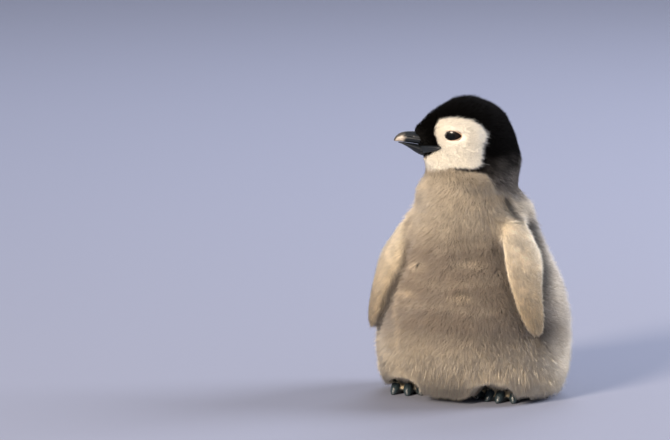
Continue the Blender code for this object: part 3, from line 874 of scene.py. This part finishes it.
lay = {  # how the down lies
    "crease": 0.0035,  # half width
    "hollow": (0.0085, 0.0050, 0.16),  # shade below it: how far down, half width, strength
    "fluff": 0.003,  # longer at the flippers' hind edges
    "hindShade": (0.021, 0.80),  # behind a flipper: reach and strength
    "hindShadeUp": (0.017, 0.85),  # and more of both higher up
    "longest": 0.0215,
    "bend": (9, 7),  # degrees, and what a wisp has more
    "curtain": (0.054, 0.034),  # the hem hangs from these heights
    "curtainSides": (1.20, 0.87, 0.05),  # and between these angles, off this one
    "hemLevel": (0.005, 0.008),  # lowest tip and spread, over floor or toes
    "hemPush": 0.005,
    "hemScatter": (0.0022, 0.0012),  # sideways and outward
    "lock": 0.0036,  # the size of a lock
    "pull": (0.03, 0.29),  # how far its tips draw together, and more on the body
}
wearAndPaintedLight = {  # wear, and painted light and shade; places are those of the tufts' tips
    "scuffs": ((-0.041, -0.100, 0.168), (0.040, -0.100, 0.174), (-0.052, -0.106, 0.133))
    + ((0.030, -0.114, 0.132),),
    "scuffSize": (0.013, 0.015, 0.0042),
    "scuffed": (1.8, 0.45),  # strength, and share of the tufts
    "notchShadow": ((0.0705, -0.0500, 0.2475), (0.0835, -0.0455, 0.2285)),  # painted shadow in the notch over a flipper
    "notchShadowWidth": 0.0078,
    "stain": (-0.0363, -0.1019, 0.1690),
    "stainReach": (0.0048, 0.0022),
    # a painted highlight along a fold down the right of the belly, with painted shade on its outer side:
    # heights, and angles there
    "seamHighlight": ((0.056, 0.0825, 0.113, 0.157, 0.197), (-0.535, -0.517, -0.617, -0.656, -0.744)),
    "seamHighlightWidth": 0.0028,
    "clump": (0.008, 0.17, 0.55),  # size, darker and lighter, on the flippers
    "bright": 0.75,  # how much lighter a lock gets from wear and from painted highlight
}


def planTufts(roots, wisp):  # every tuft's root, middle, tip and marks
    count = len(roots[0])
    root, normal = atRoots(skinAt, roots), unit(atRoots(skinNormal, roots))
    rootOuter, lie, deep = atRoots(outer, roots), atRoots(flow, roots), atRoots(cover, roots)
    beside = atRoots(besideFlipper, roots)
    shares = {region: atRoots(value, roots) for region, value in share.items()}
    style = {key: atRoots(value, roots) for key, value in fields.items()}
    around = roundBody(root)
    isBody = np.clip(shares["trunk"] + shares["neck"], 0, 1)
    isFlipper = shares["flipperLeft"] + shares["flipperRight"]
    # swirls and scuffs turn and lift the down, and creases across the belly part it
    swirl = cloud(rootOuter, 0.020, 21) * 0.55 + cloud(rootOuter, 0.008, 22) * 0.45
    ruffle = cloud(rootOuter, 0.010, 23)
    crease, hollow = np.zeros(count), np.zeros(count)
    front = smoothStep(1.7, 0.9, np.abs(around + 0.1))
    drop, hollowWidth, hollowDark = lay["hollow"]
    for level in body["creases"]:
        wave = cloud(np.stack([around * 0.05, around * 0, around * 0 + level], 1), 0.02, 24) * 0.006
        below = root[:, 2] - level - wave
        crease += falloff(below, lay["crease"]) * front * smoothStep(-0.4, 0.5, ruffle + 0.2)
        hollow += falloff(below + drop, hollowWidth) * front
    # the flippers' hind edges carry longer fluff, and the body behind them is in shade
    fluff, hindSide = np.zeros(count), np.zeros(count)
    upper = smoothStep(0.125, 0.170, root[:, 2])
    reach, strength = (low + more * upper for low, more in zip(lay["hindShade"], lay["hindShadeUp"]))
    for label, (long, broad, centre) in flipperAxes.items():
        q = root - centre
        shade = falloff(atRoots(away["flipper" + label], roots), reach)
        shade *= smoothStep(0.006, 0.018, q @ broad) * smoothStep(0.236, 0.222, root[:, 2])
        hindSide += shade * isBody * strength
        high = falloff(q @ long + 0.022, 0.030)
        edge = smoothStep(0.006, 0.020, q @ broad) * shares["flipper" + label]
        fluff += edge * (0.35 + high)
        lie = lie + broad * (edge * (0.5 + high))[:, None]
    hem = smoothStep(0.050, 0.022, root[:, 2]) * isBody
    standing = isBody * smoothStep(1.5, 2.6, np.abs(around)) * 7
    spin = rng.normal(0, 1, count) * np.radians(style["stray"])
    spin += swirl * (0.20 + 0.80 * isBody)
    lean = style["lean"] + ruffle * 9 * isBody - standing - 8 * fluff - 6 * hem
    lean += rng.normal(0, 7, count) + 8 * crease * isBody - 14 * wisp
    lean = np.radians(np.clip(lean, 12, 74))
    long = deep * style["reach"] / np.cos(lean) * (1 + rng.normal(0, 0.10, count))
    long *= 1 - 0.30 * crease * isBody + 0.05 * ruffle * isBody + 0.38 * wisp
    long += lay["fluff"] * fluff * rng.random(count)
    long *= 1 - 0.62 * beside
    # under the hem the down hangs straight
    hang = hem * smoothStep(0.0, -0.55, normal[:, 2])
    long = np.maximum(long, (0.0050 + 0.0035 * hang) * hem * (0.6 + 0.7 * rng.random(count)))
    long = np.clip(long, 0.0014, lay["longest"])
    wide = style["width"] * mm * (0.8 + 0.4 * rng.random(count)) * (1 - 0.25 * wisp)
    tangent = unit(lie - (lie * normal).sum(1)[:, None] * normal)
    across = np.cross(normal, tangent)
    along = tangent * np.cos(spin)[:, None] + across * np.sin(spin)[:, None]

    def leaning(angle):
        direction = normal * np.cos(angle)[:, None] + along * np.sin(angle)[:, None]
        return unit(direction * (1 - hang)[:, None] + np.array([0.0, -0.15, -1.0]) * hang[:, None])

    bend = np.radians(lay["bend"][0] + lay["bend"][1] * wisp)
    start = root - normal * 0.0007
    middle = start + leaning(lean - bend) * (long * 0.5)[:, None]
    tip = middle + leaning(lean + bend) * (long * 0.5)[:, None]
    # in front the hem hangs like a curtain, down to the floor or to just over the toes
    far, near, ahead = lay["curtainSides"]
    curtain = smoothStep(*lay["curtain"], rootOuter[:, 2]) * smoothStep(-0.97, -0.80, normal[:, 2])
    curtain *= isBody * smoothStep(far, near, np.abs(around - ahead))
    outward = unit(root * [1, 1, 0])
    arch = atRoots(archAt, roots)
    push = smoothStep(0.034, 0.010, rootOuter[:, 2]) * smoothStep(0.10, 0.45, (outward * normal).sum(1))
    push *= smoothStep(0.012, 0.0, arch)
    sideways, outwards = lay["hemScatter"]
    hung = rootOuter + outward * (lay["hemPush"] * push)[:, None]
    hung += across * (swirl * 0.007 + rng.normal(0, sideways, count))[:, None]
    hung += outward * rng.normal(0, outwards, count)[:, None]
    lowest, spread = lay["hemLevel"]
    hung[:, 2] = np.minimum(lowest + spread * rng.random(count) + arch, tip[:, 2])
    tip += (hung - tip) * curtain[:, None]
    middle += ((start + tip) / 2 + normal * 0.002 - middle) * curtain[:, None]
    # neighbouring tufts lean together into locks
    wobble = np.stack([cloud(root, 0.006, 30 + k) for k in range(3)], 1) * 0.002
    cell = np.floor((root + wobble) / lay["lock"]).astype(int)
    _, lock = np.unique(cell @ [1, 4096, 4096**2], return_inverse=True)
    meanTip = gathered(lock, tip, lock.max() + 1) / np.bincount(lock)[:, None]
    gather = (meanTip[lock] - tip) * (lay["pull"][0] + lay["pull"][1] * isBody)[:, None]
    tip += gather
    middle += gather * 0.35
    light = 0.45 * rng.random(lock.max() + 1)[lock]
    # scuffs, painted shadow in the notch over the flipper, a stain, and the seam's painted highlight with
    # painted shade beside it
    scuff = np.zeros(count)
    strength, chance = wearAndPaintedLight["scuffed"]
    for spot in wearAndPaintedLight["scuffs"]:
        near = (tip - spot) / wearAndPaintedLight["scuffSize"]
        scuff += strength * np.exp(-(near**2).sum(1)) * (rng.random(count) < chance)
    above, below = np.array(wearAndPaintedLight["notchShadow"])
    gap, line = tip - above, below - above
    part = np.clip(gap @ line / (line @ line), 0, 1)
    notchShadow = falloff(np.linalg.norm(gap - part[:, None] * line, axis=1), wearAndPaintedLight["notchShadowWidth"], 4)
    stain = smoothStep(*wearAndPaintedLight["stainReach"], np.linalg.norm(tip - wearAndPaintedLight["stain"], axis=1))
    beyond = (roundBody(tip) - np.interp(tip[:, 2], *wearAndPaintedLight["seamHighlight"])) * 0.1  # past the seam
    span = smoothStep(0.050, 0.070, tip[:, 2]) * smoothStep(0.230, 0.212, tip[:, 2]) * isBody
    seamHighlight = falloff(beyond, wearAndPaintedLight["seamHighlightWidth"]) * span * smoothStep(-0.9, 0.2, ruffle)
    shaded = smoothStep(-0.003, -0.007, beyond) * smoothStep(-0.030, -0.014, beyond) * span
    shaded *= smoothStep(0.085, 0.110, tip[:, 2])
    # creases and the seam get a painted highlight here, and the scuffs are wear
    wearAndHighlight = np.clip(0.6 * crease * isBody + scuff + 0.8 * seamHighlight, 0, 1)
    light += wearAndPaintedLight["bright"] * wearAndHighlight
    fleck = rng.random(count) < 0.025 * shares["neck"]
    # painted shade darkens the tufts beside a flipper
    own = (0.70 + 0.30 * rng.random(count)) * (1 - stain) * (1 - 0.45 * beside)
    # painted shadow behind a flipper's hind edge and in the notch over it
    own *= (1 - np.clip(hindSide, 0, 1)) * (1 - notchShadow) * (1 - 0.8 * fleck)
    own *= 1 - 0.22 * shares["flipperRight"]
    size, darker, lighter = wearAndPaintedLight["clump"]
    clump = cloud(rootOuter, size, 41) * isFlipper
    own *= 1 - darker * smoothStep(0.15, 0.75, clump)
    light += lighter * smoothStep(0.10, 0.60, -clump)
    # painted shade past the seam, and below each crease
    own *= (1 - 0.30 * shaded) * (1 - hollowDark * isBody * hollow)
    own *= 1 - 0.40 * curtain * (rng.random(count) < 0.30)
    # painted light on the hanging hem, for light thrown up from the floor
    light += wearAndPaintedLight["bright"] * curtain * rng.random(count)
    # the edges of the markings are ragged along the lie of the feathers
    jagged = long * 0.38 + cloud(root, 0.0022, 26) * 0.0016
    tuftMarks = marksAt(rootOuter + along * jagged[:, None], isFlipper)
    black, white, pale, dark = tuftMarks.T
    dark *= 1 - 0.6 * wearAndHighlight
    # the scuffs and the seam's painted highlight also turn tufts paler
    scuffAndHighlight = np.clip(scuff + 1.2 * seamHighlight * (rng.random(count) < 0.6), 0, 1) * isBody
    np.maximum(pale, 0.38 * scuffAndHighlight, out=pale)
    black += black * (1 - black) * 4 * rng.normal(0, 0.16, count)  # grizzled where it fades
    white *= 1 - 0.24 * falloff(atRoots(eyeAway, roots), 0.007)  # darker round the eye: a faint grey ring, deepened as painted shade
    np.clip(black, 0, 1, out=black)
    owner = np.array(list(shares))[np.argmax(list(shares.values()), axis=0)]
    silver = silverAt(rootOuter) * isBody + shares["tail"]
    plan = dict(root=root, normal=normal, start=start, middle=middle, tip=tip, wide=wide, own=own)
    return dict(plan, lock=light, silver=silver, marks=tuftMarks, shares=shares, owner=owner)


# A tuft is a three-sided spike. A wisp has a joint halfway, so that it can curl. A scale is a
# six-sided dome. Each has its faces, and each corner's place on its own patch of the map.
spike, wispForm = ([[(0, 2, 1)], [((0, 0), (1, 0), (0.5, 0.1))]] for _ in range(2))
for k in range(3):
    n = (k + 1) % 3
    lowLeft, lowRight, top = (k / 3, 0), ((k + 1) / 3, 0), ((k + 0.5) / 3, 1)
    highLeft, highRight = (k / 3, 0.5), ((k + 1) / 3, 0.5)
    spike[0].append((k, n, 3))
    spike[1].append((lowLeft, lowRight, top))
    wispForm[0] += [(k, n, 3 + n), (k, 3 + n, 3 + k), (3 + k, 3 + n, 6)]
    wispForm[1] += [(lowLeft, lowRight, highRight), (lowLeft, highRight, highLeft)]
    wispForm[1].append((highLeft, highRight, top))
dome = [], []
rim, inner = (
    [(0.5 + reach * math.cos(k * math.pi / 3), 0.5 + reach * math.sin(k * math.pi / 3)) for k in range(6)]
    for reach in (0.5, 0.3)
)
for k in range(6):
    n = (k + 1) % 6
    dome[0].extend([(k, n, 6 + n), (k, 6 + n, 6 + k), (6 + k, 6 + n, 12)])
    dome[1].extend([(rim[k], rim[n], inner[n]), (rim[k], inner[n], inner[k])])
    dome[1].append((inner[k], inner[n], (0.5, 0.5)))
patchSize = 0.003
triangleCounts = []


def meshOfCopies(name, spots, form, unwrapped):  # spots: each copy's own points
    (faces, patch), perCopy = form, spots.shape[1]
    allFaces = (np.array(faces)[None] + perCopy * np.arange(len(spots))[:, None, None]).reshape(-1, 3)
    low, high = unwrapped.min(0), unwrapped.max(0)
    spread = 0.01 + 0.975 * (unwrapped - low) / (high - low)
    corners = spread[:, None, None, :] + np.array(patch)[None] * patchSize
    mesh = bpy.data.meshes.new(name)
    mesh.vertices.add(len(spots) * perCopy)
    mesh.vertices.foreach_set("co", spots.ravel())
    mesh.loops.add(allFaces.size)
    mesh.loops.foreach_set("vertex_index", allFaces.ravel().astype(np.int32))
    mesh.polygons.add(len(allFaces))
    mesh.polygons.foreach_set("loop_start", np.arange(0, allFaces.size, 3, dtype=np.int32))
    mesh.update(calc_edges=True)
    mesh.polygons.foreach_set("use_smooth", np.ones(len(allFaces), bool))
    mesh.uv_layers.new(name="OFBake").data.foreach_set("uv", corners.ravel())
    triangleCounts.append(len(allFaces))
    print(name, len(allFaces), "triangles")
    return mesh


def growPiece(name, plan, chosen, unwrapped, finish, wisp=False):
    start, middle, tip, normal, own, wide, marks = (
        plan[key][chosen] for key in ("start", "middle", "tip", "normal", "own", "wide", "marks")
    )
    d = unit(middle - start)
    side = unit(np.cross(d, normal))
    third = np.cross(side, d)
    roll = rng.random(len(chosen)) * 2 * math.pi
    rings = []
    for base, size in ((start, 1.0), (middle, 0.8)) if wisp else ((start, 1.0),):
        for k in range(3):
            turned = roll + k * 2 * math.pi / 3
            out = side * np.cos(turned)[:, None] + third * np.sin(turned)[:, None]
            rings.append(base + out * (wide * size / 2)[:, None])
    spots = np.stack(rings + [tip], axis=1)
    spots[..., 2] = np.maximum(spots[..., 2], 0.0003 + 0.0016 * own[:, None])  # never in the floor
    mesh = meshOfCopies(name, spots, wispForm if wisp else spike, unwrapped)
    heights = np.array([0.0] * 3 + ([0.55] * 3 if wisp else []) + [1.0])
    fill = np.ones((len(chosen), len(heights)))
    lie = [fill * heights] + [fill * plan[key][chosen][:, None] for key in ("own", "lock", "silver")]
    setAttribute(mesh, "lie", np.stack(lie, axis=2))
    setAttribute(mesh, "marks", np.repeat(marks, len(heights), axis=0))
    addPiece(name, mesh, [finish])


def roundAxis(spots, axis, flat):  # a cylinder's unwrap round any axis
    q = spots - spots.mean(0)
    return np.stack([np.arctan2(q @ flat, q @ np.cross(axis, flat)), q @ axis], axis=1)


def overCrown(spots):  # the head's unwrap, spread out from the crown
    q = unit(spots - headMiddle)
    drop = np.arccos(np.clip(q[:, 2], -1, 1))
    heading = np.arctan2(q[:, 1], q[:, 0])
    return np.stack([drop * np.cos(heading), drop * np.sin(heading)], axis=1)


tufts = planTufts(newRoots(wanted), 0.0)
owner, shares, root = tufts["owner"], tufts["shares"], tufts["root"]
isHood = (shares["head"] > 0.5) | ((shares["neck"] > 0.3) & (tufts["marks"][:, 0] > 0.45))
print("coat planned:", len(owner), "tufts")
onBody = np.flatnonzero(np.isin(owner, ("trunk", "neck")) & ~isHood)
ring = ("downBelly", "downFlankLeft", "downBackLeft", "downBack", "downBackRight", "downFlankRight")
angle = (roundBody(root[onBody]) + math.pi / len(ring)) % (2 * math.pi)
cuts = np.quantile(angle, np.linspace(0, 1, len(ring) + 1))
for name, low, high in zip(ring, cuts[:-1], cuts[1:]):
    inPart = (angle >= low) & (angle < high)
    mapped = np.stack([angle[inPart], root[onBody[inPart]][:, 2]], axis=1)
    growPiece(name, tufts, onBody[inPart], mapped, downFinish)
leftward, rearward, upright = np.eye(3)
rows = []
for label, _, sign in sides:
    rows.append((f"downFlipper{label}", owner == "flipper" + label, "pale_down", flipperAxes[label]))
    onLeg = np.isin(owner, ("legs", "feet")) & (root[:, 0] * sign > 0)
    rows.append((f"downLeg{label}", onLeg, "grey_down", (upright, leftward)))
rows.append(("downTail", owner == "tail", "grey_down", (rearward, leftward)))
for name, mask, slot, axes in rows:
    chosen = np.flatnonzero(mask)
    growPiece(name, tufts, chosen, roundAxis(root[chosen], *axes[:2]), downFinish)
isWhite = tufts["marks"][:, 1] > 0.5
hoodRow = ("hoodFeathers", ~isWhite, hoodFinish, "black_down")
for name, mask, finish, slot in (hoodRow, ("faceFeathers", isWhite, downFinish, "pale_down")):
    chosen = np.flatnonzero(isHood & mask)
    growPiece(name, tufts, chosen, overCrown(root[chosen]), finish)

# Scales on the bare toes, about 2 mm across
scales = {"spacing": 1.75, "size": 2.1, "height": 0.45}  # millimetres
wanted = area / (scales["spacing"] * mm / 2) ** 2 * (bareShare[tris].min(1) > 0.6)
wanted[(outer[tris][:, :, 2].min(1) < 0.0012) | (clawAway[tris].min(1) < 0.0004)] = 0.0
roots = newRoots(wanted)
middles, flats = atRoots(skinAt, roots), unit(atRoots(skinNormal, roots))
finder = finderOf(middles)
free = np.ones(len(middles), bool)
picked = []
for index in rng.permutation(len(middles)).tolist():
    if free[index]:
        picked.append(index)
        for _, other, _ in finder.find_range(middles[index], scales["spacing"] * mm):
            free[other] = False
middles, flats = middles[picked], flats[picked]
toward = unit(np.cross(flats, [1.0, 0.0, 0.0]))
across = np.cross(flats, toward)
half, high = scales["size"] * mm / 2, scales["height"] * mm
spots = []
for size, height in ((1.0, -0.5), (0.62, 0.75)):
    for k in range(6):
        out = toward * math.cos(k * math.pi / 3) + across * math.sin(k * math.pi / 3)
        spots.append(middles + out * (size * half) + flats * height * high)
spots = np.stack(spots + [middles + flats * high], axis=1)
mesh = meshOfCopies("footScales", spots, dome, middles[:, :2])
tint = atRoots(paleToe, (roots[0][picked], roots[1][picked])) * (0.6 + 0.5 * rng.random(len(picked)))
setAttribute(mesh, "pale", np.repeat(np.clip(tint, 0, 1), 13))
addPiece("footScales", mesh, [footFinish])

# Longer loose wisps over the body, most on the flanks and back
loose = np.clip(share["trunk"] + share["neck"] * 0.6 + share["tail"], 0, 1)
behind = smoothStep(1.1, 2.0, np.abs(roundBody(outer)))
loose = loose * (0.30 + 0.70 * behind) * smoothStep(0.275, 0.235, outer[:, 2])
wanted = area / (2.25 * mm) ** 2 * loose[tris].mean(1)
wanted[noCoat] = 0.0
wisps = planTufts(newRoots(wanted), 1.0)
root = wisps["root"]
mapped = np.stack([roundBody(root), root[:, 2]], axis=1)
growPiece("downWisps", wisps, np.arange(len(root)), mapped, downFinish, wisp=True)
print("coat done:", sum(triangleCounts), "triangles")
